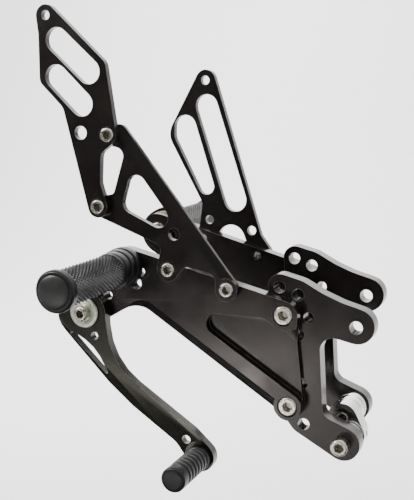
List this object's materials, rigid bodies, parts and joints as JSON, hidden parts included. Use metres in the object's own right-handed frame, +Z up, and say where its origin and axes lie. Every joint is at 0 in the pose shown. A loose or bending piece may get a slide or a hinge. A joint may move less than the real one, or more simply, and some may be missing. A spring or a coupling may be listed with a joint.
{
  "type": "motorcycle rearset pair",
  "caption": "Pair of racing foot-peg sets with machined plates, ribbed pegs, heel guards and swinging toe levers, tied together at the lower lug.",
  "frame": {"origin": "on the lower tie bolt's axis, halfway between the two adapter plates", "axes": "+X forward, towards the lower lugs; +Y to the left-hand side, which carries the shift lever; +Z up"},
  "size_m": [0.2334, 0.2754, 0.3149],
  "materials": {
    "anodised_plate": "black anodised, satin",
    "anodised_lever": "black anodised, satin, slightly olive",
    "peg_black": "black anodised, ribbed",
    "peg_cap": "dark grey, smooth",
    "stainless": "turned stainless",
    "chrome": "polished",
    "bronze_bush": "machined bronze"
  },
  "bodies": {
    "frame": {"brake_lever_bush": "bronze_bush", "brake_pivot_bolt": "stainless", "brake_pivot_washer": "stainless", "left_adapter_bolt_lower": "stainless", "left_adapter_bolt_upper": "stainless", "left_adapter_plate": "anodised_plate", "left_guard_bolt_front": "stainless", "left_guard_bolt_rear": "stainless", "left_heel_guard": "anodised_plate", "left_main_plate": "anodised_plate", "left_peg_barrel": "peg_black", "left_peg_base": "peg_black", "left_peg_bolt": "stainless", "left_peg_cap": "peg_cap", "left_peg_end_ring": "peg_black", "right_adapter_bolt_lower": "stainless", "right_adapter_bolt_upper": "stainless", "right_adapter_plate": "anodised_plate", "right_guard_bolt_front": "stainless", "right_guard_bolt_rear": "stainless", "right_hanger_bolt_lower": "stainless", "right_hanger_bolt_upper": "stainless", "right_lower_guard": "anodised_plate", "right_main_plate": "anodised_plate", "right_peg_barrel": "peg_black", "right_peg_base": "peg_black", "right_peg_bolt": "stainless", "right_peg_cap": "peg_cap", "right_peg_end_ring": "peg_black", "right_upper_guard": "anodised_plate", "shift_lever_bush": "bronze_bush", "tie_block": "chrome", "tie_bolt_left": "stainless", "tie_bolt_right": "stainless", "tie_set_screw": "stainless", "tie_spacer_left": "chrome", "tie_spacer_right": "chrome"},
    "brake": {"brake_lever": "anodised_lever", "brake_toe_peg": "peg_black", "brake_toe_bolt": "stainless"},
    "shift": {"shift_lever": "anodised_lever", "shift_toe_peg": "peg_black", "shift_toe_bolt": "stainless"}
  },
  "joints": [
    {"name": "brake_lever_pivot", "type": "hinge", "parent": "frame", "child": "brake", "pos_m": [-0.1815, -0.04525, 0.0775], "axis": [0, 1, 0], "range_deg": [-25, 8]},
    {"name": "shift_lever_pivot", "type": "hinge", "parent": "frame", "child": "shift", "pos_m": [-0.1621, 0.05025, 0.1257], "axis": [0, 1, 0], "range_deg": [-12, 12]}
  ]
}
